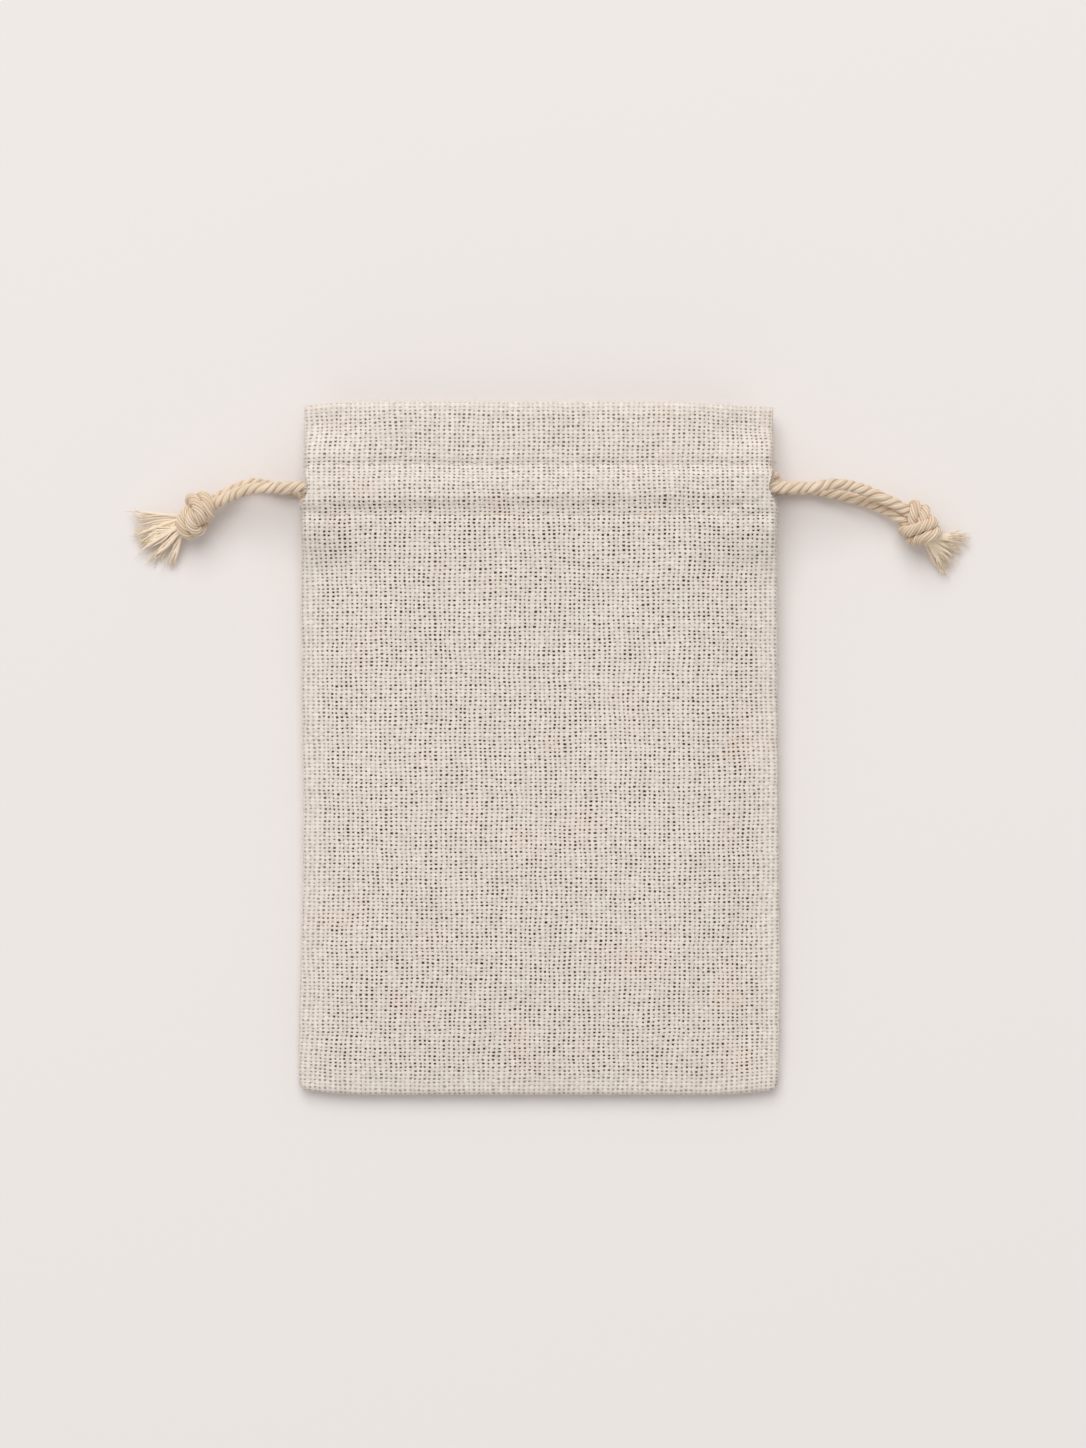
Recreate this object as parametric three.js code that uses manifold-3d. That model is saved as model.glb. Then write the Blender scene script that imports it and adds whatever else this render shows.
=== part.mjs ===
// A flat drawstring jewelry pouch of natural linen cloth, lying on its back with its mouth towards +Y.
// Two panels, each with its top turned in as a deep hem, are sewn together at the sides and the bottom.
// Two stitch rows in each hem make a casing. Two drawcords run through both casings, each as a loop
// with its bight on the far side and both tails, knotted together and frayed, on its own side.
// Millimetres. +X is to the right and +Z is up from the table; the origin is under the pouch's middle.

import * as THREE from 'three';
import Module from 'manifold-3d';
import { mergeVertices } from 'three/addons/utils/BufferGeometryUtils.js';

// Pouch, seen from above
const POUCH_WIDTH = 101;
const POUCH_LENGTH = 148;
const CORNER_RADIUS = 4;
const HEADER = 13.5;              // from the top fold to the upper stitch row
const CASING = 10.8;              // between the two stitch rows
const HEM_END = 2.5;              // hem below the lower stitch row
const SLIT_SETBACK = 1.3;         // casing's outer ply, back from the pouch's side edge
const HEM_SETBACK = 3.5;          // casing's inner ply, back from the pouch's side edge

// Cloth and thread
const CLOTH = 0.5;
const THREAD = 0.35;
const THREAD_PLAY = 0.25;         // between a stitch row and each ply
const SEAM_CLEARANCE = 0.1;       // between the panels' plies where their sewn edges meet
const SEAM_ALLOWANCE = 6;
const SEAM_PLAY = 0.3;            // between an allowance and the panels it lies in

// How the pouch swells
const MOUTH_GAP = 4.4;            // between the two hems
const EDGE_ROLL = 3.2;            // how far in from the edge the cloth rolls over
const BOTTOM_SEAM_Z = 3;
const SHOULDER_RISE = 3.2;        // top of the rolled edge above the seam
const BODY_CROWN = 9.6;           // middle of the front panel above the table
const CROWN_RUN = 45;             // length over which the crown comes up from the bottom edge
const CASING_RUN = 10;            // length over which the front panel comes up to the casing
const STITCH_RAMP = 1.3;          // from a stitch row to the casing's full height

// Drawcords
const CORD = 2.4;
const CORD_PLAY = 0.25;           // between a cord and its casing
const CORD_GAP = 0.3;             // between a cord's pieces
const LANE_GAP = 0.44;            // between the two cords side by side in a casing
const LANE_SHIFT = 0.45;          // the two cords lie this far above the casing's middle line
const LANE_RISE = 2.6;            // and this much higher at the right edge than at the left
const BIGHT_REACH = 2.6;          // how far a cord's bight stands out past the pouch's far edge
const TAIL_START = 3;             // tails begin this far inside the pouch's edge
const TAIL_STRAIGHT = 8;          // and leave straight to this far outside it

// Places and turns of the two knots: out from the pouch's edge, up from the casing's middle, height
const LEFT_KNOT = { side: -1, out: 23, up: -5.2, z: 5.05, turn: 204 };
const RIGHT_KNOT = { side: 1, out: 30.6, up: -6.9, z: 5.05, turn: -40 };

// Routes of the tails from the end of their straight to the knot, as [out, up, height]
const LEFT_FRONT_ROUTE = [[11.6, 0.2, 9.8], [14.8, -0.7, 8.8]];
const LEFT_BACK_ROUTE = [[11.6, 1.15, 2], [14.8, 0.3, 2.5]];
const RIGHT_FRONT_ROUTE = [[11.8, 1.1, 10.1], [15.8, 0.45, 9.7], [20, -0.85, 8.8], [23.6, -2.3, 7.6]];
const RIGHT_BACK_ROUTE = [[11.8, -0.1, 1.95], [15.8, -1.15, 2], [20, -2.4, 2.3], [23.6, -3.7, 2.9]];

// An overhand knot along its own axis, in cord diameters: the strand goes in through the core, turns back
// at the far end, wraps once round the core towards the near end, and goes out through the core.
const KNOT_STRAND = [
  [-2.1, 0.14, 0.05], [-1, 0.4, 0.27], [0.55, 0.45, 0.27], [1.5, 0.1, 0.72], [1.5, -0.85, 1.05],
  [0.75, -1.45, 0.6], [0.2, -1.36, -0.64], [-0.2, -0.27, -1.42], [-0.55, 1, -1.1], [-0.9, 1.48, 0.1],
  [-1.08, 0.92, 1.2], [-1.16, -0.22, 1.32], [-1, -1, 0.55], [-0.27, -0.73, -0.27], [0.8, -0.4, -0.55],
  [2.1, -0.1, -0.64],
];
const KNOT_CORE = 1;              // radius of the packed middle, in cord diameters

// Tips of the frayed bundles, from the tassel's root: out, up
const LEFT_TASSEL_TIPS = [[9.6, 1.3], [10.2, -2.2], [8.4, -5.6], [3, -9.2]];
const RIGHT_TASSEL_TIPS = [[8.8, 0.4], [7.6, -2.6], [3.6, -7.4]];
const BUNDLE_ROOT = 1.05;         // radius of a bundle at its root
const BUNDLE_TIP = 1.25;          // and at its spread end
const BUNDLE_SIDES = 7;

// How finely the curves are stepped
const CORD_SIDES = 8;
const LOOP_STEPS = 16;
const POINT_STEPS = 3;            // steps from each point of a cord's route to the next
const KNOT_STEPS = 9;             // steps along each stretch of a knot strand
const KNOT_STRETCHES = [[0, 0.36], [0.34, 0.7], [0.68, 1]];
const ROLL_STEPS = 4;
const FOLD_STEPS = 4;
const SPAN_STEPS = [0.12, 0.3, 0.55, 1];                        // from a rolled edge to the middle
const BODY_STEPS = [0.1, 0.22, 0.36, 0.6, 0.84, 0.92, 0.96];    // from the bottom edge to the casing
const WELD = 1e-4;
const QUARTER = Math.PI / 2;

// Levels, from the table up
const channel = CORD + 2 * CORD_PLAY;
const plyPitch = THREAD + 2 * THREAD_PLAY + CLOTH;
const backOuterZ = CLOTH / 2;
const backCordZ = CLOTH + channel / 2;
const backHemZ = CLOTH + channel + CLOTH / 2;
const frontHemZ = backHemZ + CLOTH + MOUTH_GAP;
const frontCordZ = frontHemZ + CLOTH / 2 + channel / 2;
const frontOuterZ = frontHemZ + CLOTH + channel;
const casingSeamZ = (frontOuterZ + backOuterZ) / 2;
const sewnOffset = (CLOTH + SEAM_CLEARANCE) / 2;
const allowance = 2 * CLOTH;         // thickness of the two turned-in edges

// Lines across the pouch
const halfWidth = POUCH_WIDTH / 2;
const topY = POUCH_LENGTH / 2;
const bottomY = -POUCH_LENGTH / 2;
const upperStitchY = topY - HEADER;
const lowerStitchY = upperStitchY - CASING;
const casingY = (upperStitchY + lowerStitchY) / 2;
const laneHalf = (CORD + LANE_GAP) / 2;

const wasm = await Module();
wasm.setup();

function smooth(t) {
  return THREE.MathUtils.smoothstep(t, 0, 1);
}

function solidOf(geometry) {
  const bare = geometry.clone();
  bare.deleteAttribute('normal');
  bare.deleteAttribute('uv');
  const merged = mergeVertices(bare, WELD);
  return new wasm.Manifold(new wasm.Mesh({
    numProp: 3,
    vertProperties: new Float32Array(merged.attributes.position.array),
    triVerts: new Uint32Array(merged.index.array),
  }));
}

function geometryOf(solid) {
  const mesh = solid.getMesh();
  const geometry = new THREE.BufferGeometry();
  geometry.setAttribute('position', new THREE.BufferAttribute(mesh.vertProperties, 3));
  geometry.setIndex(new THREE.BufferAttribute(mesh.triVerts, 1));
  return geometry;
}

function joined(geometries) {
  const solids = geometries.map(solidOf);
  return geometryOf(solids.reduce((whole, next) => whole.add(next)));
}

// A sheet of cloth through a grid of points on its middle surface, with its thickness and a rim all round.
function sheet(rows, thickness) {
  const columns = rows[0].length;
  const count = rows.length * columns;
  const at = (i, j) => rows[THREE.MathUtils.clamp(i, 0, rows.length - 1)][
    THREE.MathUtils.clamp(j, 0, columns - 1)];
  const positions = [];
  for (const half of [thickness / 2, -thickness / 2]) {
    for (let i = 0; i < rows.length; i++) {
      for (let j = 0; j < columns; j++) {
        const across = at(i, j + 1).clone().sub(at(i, j - 1));
        const along = at(i + 1, j).clone().sub(at(i - 1, j));
        const normal = across.cross(along).normalize();
        positions.push(...at(i, j).clone().addScaledVector(normal, half));
      }
    }
  }
  const faces = [];
  const quad = (a, b, c, d) => faces.push(a, b, c, a, c, d);
  for (let i = 0; i + 1 < rows.length; i++) {
    for (let j = 0; j + 1 < columns; j++) {
      const a = i * columns + j;
      const b = a + columns;
      quad(a, a + 1, b + 1, b);
      quad(count + a, count + b, count + b + 1, count + a + 1);
    }
  }
  const rim = [];
  for (let j = 0; j < columns; j++) rim.push(j);
  for (let i = 1; i < rows.length; i++) rim.push(i * columns + columns - 1);
  for (let j = columns - 2; j >= 0; j--) rim.push((rows.length - 1) * columns + j);
  for (let i = rows.length - 2; i >= 1; i--) rim.push(i * columns);
  rim.forEach((a, k) => {
    const b = rim[(k + 1) % rim.length];
    quad(b, a, count + a, count + b);
  });
  const geometry = new THREE.BufferGeometry();
  geometry.setAttribute('position', new THREE.Float32BufferAttribute(positions, 3));
  geometry.setIndex(faces);
  return geometry;
}

// One row of cloth points from the left edge to the right: up the rolled edge, over its shoulder and across.
function clothRow({ y, edgeX, edgeZ, roll, shoulderZ, crownZ, lift = 1 }) {
  const half = [];
  for (let k = 0; k <= ROLL_STEPS; k++) {
    const angle = QUARTER * k / ROLL_STEPS;
    half.push([edgeX - roll * (1 - Math.cos(angle)), edgeZ + (shoulderZ - edgeZ) * Math.sin(angle)]);
  }
  for (const part of SPAN_STEPS) {
    const z = shoulderZ + (crownZ - shoulderZ) * smooth(2 * part);
    half.push([(edgeX - roll) * (1 - part), z]);
  }
  const point = (x, z) => new THREE.Vector3(x, y, edgeZ + lift * (z - edgeZ));
  const left = half.map(([x, z]) => point(-x, z));
  const right = half.slice(0, -1).reverse().map(([x, z]) => point(x, z));
  return left.concat(right);
}

function seamZ(y) {
  const part = THREE.MathUtils.clamp((y - bottomY) / (lowerStitchY - bottomY), 0, 1);
  return THREE.MathUtils.lerp(BOTTOM_SEAM_Z, casingSeamZ, part);
}

// The middle of a cord in its casing; a lane is 1 for the upper cord and -1 for the lower one.
function laneY(lane, x) {
  return casingY + LANE_SHIFT + lane * laneHalf + LANE_RISE * x / POUCH_WIDTH;
}

function edgeX(y) {
  const inside = THREE.MathUtils.clamp(1 - (y - bottomY - CLOTH / 2) / CORNER_RADIUS, 0, 1);
  return halfWidth - CLOTH / 2 - CORNER_RADIUS * (1 - Math.sqrt(1 - inside * inside));
}

// A panel is one sheet: from the bottom seam up its outer ply, round the top fold and down the hem.
function panel({ outerZ, hemZ, casingZ, casingHemZ, sewnSide, shoulder, crown }) {
  const rows = [];
  const sewn = (y, shoulderZ, crownZ, lift) => rows.push(clothRow({
    y, edgeX: edgeX(y), edgeZ: seamZ(y) + sewnSide * sewnOffset, roll: EDGE_ROLL, shoulderZ, crownZ, lift,
  }));
  const open = (y, z, setback) => rows.push(clothRow({
    y, edgeX: halfWidth - setback, edgeZ: z, roll: EDGE_ROLL - CLOTH, shoulderZ: z, crownZ: z,
  }));
  const slitEnd = (y) => rows.push(clothRow({
    y, edgeX: halfWidth - (CLOTH / 2 + SLIT_SETBACK) / 2, edgeZ: (seamZ(y) + casingZ) / 2,
    roll: EDGE_ROLL, shoulderZ: (outerZ + casingZ) / 2, crownZ: (outerZ + casingZ) / 2,
  }));

  for (let k = 0; k <= ROLL_STEPS; k++) {
    const angle = QUARTER * k / ROLL_STEPS;
    const y = bottomY + CLOTH / 2 + EDGE_ROLL * (1 - Math.cos(angle));
    sewn(y, shoulder(y), crown(y), Math.sin(angle));
  }
  const bodyStart = bottomY + CLOTH / 2 + EDGE_ROLL;
  for (const part of BODY_STEPS) {
    const y = THREE.MathUtils.lerp(bodyStart, lowerStitchY, part);
    sewn(y, shoulder(y), crown(y), 1);
  }
  sewn(lowerStitchY, outerZ, outerZ, 1);
  slitEnd(lowerStitchY + STITCH_RAMP / 2);
  open(lowerStitchY + STITCH_RAMP, casingZ, SLIT_SETBACK);
  open(upperStitchY - STITCH_RAMP, casingZ, SLIT_SETBACK);
  slitEnd(upperStitchY - STITCH_RAMP / 2);
  sewn(upperStitchY, outerZ, outerZ, 1);

  const foldRadius = Math.abs(outerZ - hemZ) / 2;
  const foldY = topY - CLOTH / 2 - foldRadius;
  sewn((upperStitchY + foldY) / 2, outerZ, outerZ, 1);
  for (let k = 0; k <= FOLD_STEPS; k++) {
    const part = k / FOLD_STEPS;
    const angle = Math.PI * part;
    const y = foldY + foldRadius * Math.sin(angle);
    const z = (outerZ + hemZ) / 2 + Math.cos(angle) * (outerZ - hemZ) / 2;
    rows.push(clothRow({
      y,
      edgeX: THREE.MathUtils.lerp(halfWidth - CLOTH / 2, halfWidth - HEM_SETBACK, part),
      edgeZ: THREE.MathUtils.lerp(seamZ(y) + sewnSide * sewnOffset, hemZ, part),
      roll: THREE.MathUtils.lerp(EDGE_ROLL, EDGE_ROLL - CLOTH, part),
      shoulderZ: z,
      crownZ: z,
    }));
  }
  open((upperStitchY + foldY) / 2, hemZ, HEM_SETBACK);
  open(upperStitchY, hemZ, HEM_SETBACK);
  open(upperStitchY - STITCH_RAMP, casingHemZ, HEM_SETBACK);
  open(lowerStitchY + STITCH_RAMP, casingHemZ, HEM_SETBACK);
  open(lowerStitchY, hemZ, HEM_SETBACK);
  open(lowerStitchY - HEM_END, hemZ, HEM_SETBACK);
  return sheet(rows, CLOTH);
}

function frontPanel() {
  const stitchZ = frontCordZ + plyPitch / 2;
  const toCasing = (y) => smooth((y - lowerStitchY + CASING_RUN) / CASING_RUN);
  const shoulder = (y) => THREE.MathUtils.lerp(seamZ(y) + SHOULDER_RISE, stitchZ, toCasing(y));
  const crown = (y) => {
    const risen = smooth((y - bottomY - EDGE_ROLL) / CROWN_RUN);
    const bodyZ = THREE.MathUtils.lerp(seamZ(y) + SHOULDER_RISE, BODY_CROWN, risen);
    return THREE.MathUtils.lerp(bodyZ, stitchZ, toCasing(y));
  };
  return panel({
    outerZ: stitchZ, hemZ: frontCordZ - plyPitch / 2, casingZ: frontOuterZ, casingHemZ: frontHemZ,
    sewnSide: 1, shoulder, crown,
  });
}

function backPanel() {
  const flat = () => backOuterZ;
  return panel({
    outerZ: backOuterZ, hemZ: backOuterZ + plyPitch, casingZ: backOuterZ, casingHemZ: backHemZ,
    sewnSide: -1, shoulder: flat, crown: flat,
  });
}

function polygon(radius, sides) {
  const points = [];
  for (let k = 0; k < sides; k++) {
    const angle = 2 * Math.PI * k / sides;
    points.push(new THREE.Vector2(radius * Math.cos(angle), radius * Math.sin(angle)));
  }
  return new THREE.Shape(points);
}

function tube(curve, diameter, steps) {
  const section = polygon(diameter / 2, CORD_SIDES);
  return new THREE.ExtrudeGeometry(section, { steps, extrudePath: curve });
}

// A stitch row lies between the two plies that it holds together.
function stitchRow(y, z) {
  const reach = halfWidth - HEM_SETBACK;
  const line = new THREE.LineCurve3(new THREE.Vector3(-reach, y, z), new THREE.Vector3(reach, y, z));
  return tube(line, THREAD, 1);
}

// The sewn allowance of a side seam, turned inside, as a strip that follows the seam's height.
function sideAllowance(side, fromY, toY) {
  const outline = new THREE.Shape([
    new THREE.Vector2(fromY, seamZ(fromY) - allowance / 2),
    new THREE.Vector2(toY, seamZ(toY) - allowance / 2),
    new THREE.Vector2(toY, seamZ(toY) + allowance / 2),
    new THREE.Vector2(fromY, seamZ(fromY) + allowance / 2),
  ]);
  const strip = new THREE.ExtrudeGeometry(outline, { depth: SEAM_ALLOWANCE, bevelEnabled: false });
  const toSide = new THREE.Matrix4().makeBasis(
    new THREE.Vector3(0, 1, 0), new THREE.Vector3(0, 0, 1), new THREE.Vector3(1, 0, 0));
  const outside = halfWidth - CLOTH - SEAM_PLAY;
  const startX = side > 0 ? outside - SEAM_ALLOWANCE : -outside;
  return strip.applyMatrix4(toSide).translate(startX, 0, 0);
}

function bottomAllowance() {
  const width = 2 * (halfWidth - CLOTH - SEAM_PLAY - CORNER_RADIUS);
  const strip = new THREE.BoxGeometry(width, SEAM_ALLOWANCE, allowance);
  const y = bottomY + CLOTH + SEAM_PLAY + SEAM_ALLOWANCE / 2;
  return strip.translate(0, y, BOTTOM_SEAM_Z);
}

// A drawcord's loop: along the front casing, round its bight past the far edge, back along the back casing.
class DrawcordLoop extends THREE.Curve {
  constructor(side, lane) {
    super();
    this.side = side;
    this.lane = lane;
    this.radius = (frontCordZ - backCordZ) / 2;
    this.startX = side * (halfWidth - TAIL_START - CORD_GAP);
    this.turnX = -side * (halfWidth + BIGHT_REACH - CORD / 2 - this.radius);
  }

  // Quarter of the steps for each straight run, and half for the bight
  getUtoTmapping(u) {
    return u;
  }

  turned(t) {
    return Math.PI * (2 * THREE.MathUtils.clamp(t, 0.25, 0.75) - 0.5);
  }

  getPoint(t, target = new THREE.Vector3()) {
    const run = 4 * Math.min(t, 1 - t, 0.25);
    const angle = this.turned(t);
    const bight = this.side * this.radius * Math.sin(angle);
    const x = THREE.MathUtils.lerp(this.startX, this.turnX, run) - bight;
    return target.set(x, laneY(this.lane, x), backCordZ + this.radius * (1 + Math.cos(angle)));
  }

  getTangent(t, target = new THREE.Vector3()) {
    const angle = this.turned(t);
    const x = -this.side * Math.cos(angle);
    return target.set(x, x * LANE_RISE / POUCH_WIDTH, -Math.sin(angle)).normalize();
  }
}

// Turns a knot's own axis, sideways and up directions into the pouch's frame, at the knot's place.
function knotFrame(knot) {
  const place = new THREE.Vector3(knot.side * (halfWidth + knot.out), casingY + knot.up, knot.z);
  const turn = new THREE.Matrix4().makeRotationZ(THREE.MathUtils.degToRad(knot.turn));
  return turn.setPosition(place);
}

// The two strands of a knot lie side by side on it, half a cord to each side of the path.
function knotStrands(knot) {
  const frame = knotFrame(knot);
  const path = new THREE.CatmullRomCurve3(KNOT_STRAND.map((p) => new THREE.Vector3(...p)));
  const samples = POINT_STEPS * (KNOT_STRAND.length - 1);
  return [0.5, -0.5].map((half) => {
    const points = [];
    for (let k = 0; k <= samples; k++) {
      const point = path.getPoint(k / samples);
      const radial = new THREE.Vector3(0, point.y, point.z);
      const aside = path.getTangent(k / samples).cross(radial).normalize();
      points.push(point.addScaledVector(aside, half).multiplyScalar(CORD).applyMatrix4(frame));
    }
    return new THREE.CatmullRomCurve3(points);
  });
}

class CurveStretch extends THREE.Curve {
  constructor(curve, from, to) {
    super();
    this.curve = curve;
    this.from = from;
    this.to = to;
  }

  getPoint(t, target) {
    return this.curve.getPoint(THREE.MathUtils.lerp(this.from, this.to, t), target);
  }
}

// A knot is its two strands and the middle they are packed around, as one solid.
function knotSolid(knot) {
  const pieces = [];
  for (const strand of knotStrands(knot)) {
    for (const [from, to] of KNOT_STRETCHES) {
      pieces.push(tube(new CurveStretch(strand, from, to), CORD, KNOT_STEPS));
    }
  }
  const core = new THREE.IcosahedronGeometry(KNOT_CORE * CORD, 1);
  pieces.push(core.applyMatrix4(knotFrame(knot)));
  return joined(pieces);
}

// A tail leaves its casing straight, then follows its route to the face of its strand on the knot.
function tail(knot, lane, laneZ, route, strandNumber) {
  const outside = (out) => knot.side * (halfWidth + out);
  const straight = (out) => new THREE.Vector3(outside(out), laneY(lane, outside(out)), laneZ);
  const strand = knotStrands(knot)[strandNumber];
  const face = strand.getPoint(0);
  const inwards = strand.getTangent(0);
  const end = face.clone().addScaledVector(inwards, -CORD_GAP);
  const points = [
    ...[-TAIL_START, 0, TAIL_STRAIGHT / 2, TAIL_STRAIGHT].map(straight),
    ...route.map(([out, up, z]) => new THREE.Vector3(outside(out), casingY + up, z)),
    end.clone().addScaledVector(inwards, -CORD / 2),
    end,
  ];
  return tube(new THREE.CatmullRomCurve3(points), CORD, POINT_STEPS * (points.length - 1));
}

// A tassel is the frayed ends of both strands, in bundles that spread from the knot onto the table.
function tassel(knot, tips) {
  const frame = knotFrame(knot);
  const last = KNOT_STRAND[KNOT_STRAND.length - 1];
  const root = new THREE.Vector3(...last).multiplyScalar(CORD);
  root.x += CORD_GAP + BUNDLE_ROOT;
  root.applyMatrix4(frame);
  const bundles = tips.map(([out, up]) => {
    const tip = new THREE.Vector3(root.x + knot.side * out, root.y + up, BUNDLE_TIP + CORD_GAP);
    const along = tip.clone().sub(root);
    const length = along.length();
    const bundle = new THREE.CylinderGeometry(BUNDLE_TIP, BUNDLE_ROOT, length, BUNDLE_SIDES);
    bundle.translate(0, length / 2, 0);
    const turn = new THREE.Quaternion().setFromUnitVectors(THREE.Object3D.DEFAULT_UP, along.normalize());
    return bundle.applyQuaternion(turn).translate(...root);
  });
  const collar = new THREE.IcosahedronGeometry(BUNDLE_ROOT, 1).translate(...root);
  return joined([collar, ...bundles]);
}

const linen = { color: 0xd2c8be, roughness: 0.95 };
const sewingThread = { color: 0xcbb9a4, roughness: 0.8 };
const cotton = { color: 0xd7c1a7, roughness: 0.9 };

const pouch = new THREE.Group();

function add(name, geometry, { color, roughness }) {
  const mesh = new THREE.Mesh(geometry, new THREE.MeshStandardMaterial({ color, roughness, metalness: 0 }));
  mesh.name = name;
  pouch.add(mesh);
}

add('front_panel', frontPanel(), linen);
add('back_panel', backPanel(), linen);

const backStitchZ = backOuterZ + plyPitch / 2;
add('front_upper_stitch', stitchRow(upperStitchY, frontCordZ), sewingThread);
add('front_lower_stitch', stitchRow(lowerStitchY, frontCordZ), sewingThread);
add('back_upper_stitch', stitchRow(upperStitchY, backStitchZ), sewingThread);
add('back_lower_stitch', stitchRow(lowerStitchY, backStitchZ), sewingThread);

const sideSeamStart = bottomY + CLOTH + SEAM_PLAY + SEAM_ALLOWANCE + SEAM_PLAY;
const headerSeamEnd = topY - CLOTH - SEAM_PLAY;
for (const [name, side] of [['left', -1], ['right', 1]]) {
  add(`${name}_side_seam`, sideAllowance(side, sideSeamStart, lowerStitchY), linen);
  add(`${name}_header_seam`, sideAllowance(side, upperStitchY, headerSeamEnd), linen);
}
add('bottom_seam', bottomAllowance(), linen);

// The left cord has the upper lane of both casings and the right cord the lower one.
const UPPER = 1;
const LOWER = -1;
add('left_cord_loop', tube(new DrawcordLoop(-1, UPPER), CORD, LOOP_STEPS), cotton);
add('right_cord_loop', tube(new DrawcordLoop(1, LOWER), CORD, LOOP_STEPS), cotton);
add('left_front_tail', tail(LEFT_KNOT, UPPER, frontCordZ, LEFT_FRONT_ROUTE, 0), cotton);
add('left_back_tail', tail(LEFT_KNOT, UPPER, backCordZ, LEFT_BACK_ROUTE, 1), cotton);
add('right_front_tail', tail(RIGHT_KNOT, LOWER, frontCordZ, RIGHT_FRONT_ROUTE, 0), cotton);
add('right_back_tail', tail(RIGHT_KNOT, LOWER, backCordZ, RIGHT_BACK_ROUTE, 1), cotton);
add('left_knot', knotSolid(LEFT_KNOT), cotton);
add('right_knot', knotSolid(RIGHT_KNOT), cotton);
add('left_tassel', tassel(LEFT_KNOT, LEFT_TASSEL_TIPS), cotton);
add('right_tassel', tassel(RIGHT_KNOT, RIGHT_TASSEL_TIPS), cotton);

export default pouch;
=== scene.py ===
import math

import bpy
import numpy as np
from mathutils import Matrix


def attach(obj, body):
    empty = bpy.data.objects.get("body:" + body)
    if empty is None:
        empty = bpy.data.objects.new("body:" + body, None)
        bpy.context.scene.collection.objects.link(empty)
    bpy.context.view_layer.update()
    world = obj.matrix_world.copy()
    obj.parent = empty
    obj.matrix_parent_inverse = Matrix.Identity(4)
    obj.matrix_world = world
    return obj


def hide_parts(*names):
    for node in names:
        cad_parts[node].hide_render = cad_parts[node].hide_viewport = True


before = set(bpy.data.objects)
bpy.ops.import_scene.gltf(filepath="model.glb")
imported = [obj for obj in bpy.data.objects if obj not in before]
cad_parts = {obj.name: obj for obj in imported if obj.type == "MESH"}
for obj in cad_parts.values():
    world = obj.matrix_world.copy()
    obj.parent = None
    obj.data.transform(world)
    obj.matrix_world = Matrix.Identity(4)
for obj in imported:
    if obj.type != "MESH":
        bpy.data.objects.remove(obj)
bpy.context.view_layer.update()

MM = 0.001
chance = np.random.default_rng(11)

# The pouch in millimetres
HALF_WIDTH = 50.5
TOP, BOTTOM = 74.0, -74.0
CORNER = 1.9                    # radius of the bottom corners
UPPER_STITCH, LOWER_STITCH = 60.5, 49.7
CASING_MIDDLE = 55.1
CASING_TOP = 12.1               # front cloth over the cords
HEM_SETBACK = 4.5               # how far inside the sides a hem ends
CLOTH = 0.5
PLY_PITCH = 1.35                # from ply to ply in the header
CASING_PITCH = 3.6              # and round the cords
SEAM_ALLOWANCE = 6.0
CORD = 2.4
BACK_CORD_Z, FRONT_CORD_Z = 1.95, 10.25

# Drawcords: two lanes side by side in each casing, and their routes outside it
UPPER, LOWER = 1, -1
LANE_SHIFT, LANE_RISE, LANE_GAP = 0.42, 2.85, 0.6
BIGHT_REACH = 1.2               # how far a bight shows past the far side
BIGHT_TUCK = 1.4                # how far it leans in between the other cord's tails
TUCK_SHARPNESS = 8
TAIL_START, TAIL_STRAIGHT = 3.3, 8.0
# Each knot's place, its turns in degrees, its hand, and how far from its middle the cords end
KNOTS = {
    "left": dict(side=-1, lane=UPPER, out=23.0, up=-5.2, z=5.05, turn=204, roll=0, hand=-1, neck=4.0),
    "right": dict(side=1, lane=LOWER, out=30.6, up=-6.9, z=5.05, turn=-40, roll=270, hand=1, neck=3.3),
}
# Points on each tail: distance out from the side, up from the casing's middle, and height
ROUTES = {
    "left_front": [(11.6, 0.1, 9.0), (14.8, -0.8, 7.4)],
    "left_back": [(11.6, 1.75, 2.0), (14.8, 0.9, 2.5)],
    "right_front": [(11.8, 1.2, 9.3), (15.8, 0.9, 8.0), (20, -0.35, 6.8), (23.6, -1.85, 6.2)],
    "right_back": [(11.8, -0.2, 1.95), (15.8, -1.15, 2.0), (20, -2.35, 2.3), (23.6, -3.7, 2.9)],
}
# How far each tail drifts aside as it leaves its casing
FANS = {"left_front": 0.05, "left_back": 0.9, "right_front": -0.1, "right_back": -0.1}
FAN_START, FAN_REACH = 3, 5
# One strand of an overhand knot about its own middle, in cord diameters
KNOT_STRAND = [
    (-2.1, 0.14, 0.05), (-1, 0.4, 0.27), (0.55, 0.45, 0.27), (1.5, 0.1, 0.72), (1.5, -0.85, 1.05),
    (0.75, -1.45, 0.6), (0.2, -1.36, -0.64), (-0.2, -0.27, -1.42), (-0.55, 1, -1.1), (-0.9, 1.48, 0.1),
    (-1.08, 0.92, 1.2), (-1.16, -0.22, 1.32), (-1, -1, 0.55), (-0.27, -0.73, -0.27), (0.8, -0.4, -0.55),
    (2.1, -0.1, -0.64),
]


# Camera, straight above the pouch

FRAME_PIXELS, PIXELS_PER_MM = 1448, 4.68
CAMERA_ABOVE = 0.9
SCALE_PLANE = 8 * MM            # the height at which the scale holds
CAMERA_X, CAMERA_Y = 0.7 * MM, 5.1 * MM


def add_camera():
    data = bpy.data.cameras.new("camera")
    camera = bpy.data.objects.new("camera", data)
    bpy.context.scene.collection.objects.link(camera)
    frame_height = FRAME_PIXELS / PIXELS_PER_MM * MM
    data.lens = data.sensor_width * CAMERA_ABOVE / frame_height
    camera.location = (CAMERA_X, CAMERA_Y, CAMERA_ABOVE + SCALE_PLANE)
    data.clip_start, data.clip_end = 0.01, 20
    bpy.context.scene.camera = camera


add_camera()


# Smooth lines

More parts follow.
